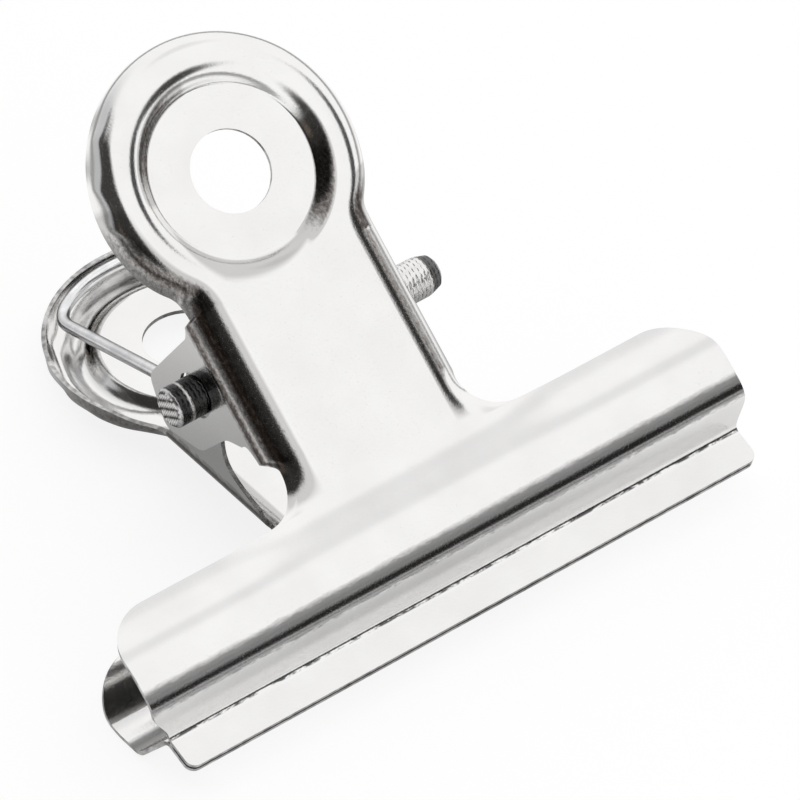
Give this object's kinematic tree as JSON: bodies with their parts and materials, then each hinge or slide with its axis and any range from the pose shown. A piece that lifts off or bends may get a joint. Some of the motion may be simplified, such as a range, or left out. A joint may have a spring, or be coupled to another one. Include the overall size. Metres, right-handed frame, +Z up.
{
  "type": "letter clip",
  "caption": "Spring letter clip of pressed sheet steel: squeezing its round thumb discs opens the wide jaw, which holds a stack of paper.",
  "frame": {"origin": "centre of the bounding box on the ground, under the neck of the clip", "axes": "+X across the clip, along its pin and its lips; +Y from the lips to the thumb discs; +Z up from the rear disc and rear jaw that it lies on"},
  "size_m": [0.079, 0.0706, 0.0457],
  "materials": {
    "sheet": "bright nickel plate",
    "pin": "knurled steel",
    "wire": "drawn spring wire"
  },
  "bodies": {
    "base": {"rear_jaw": "sheet", "pivot_pin": "pin", "spring": "wire"},
    "front": {"front_jaw": "sheet"}
  },
  "joints": [
    {"name": "jaw_hinge", "type": "hinge", "parent": "base", "child": "front", "pos_m": [0, -0.00218, 0.01821], "axis": [-1, 0, 0], "range_deg": [0, 40], "stiffness_Nm_per_rad": 0.15, "springref_deg": -28.65, "deforming": ["spring"]}
  ]
}
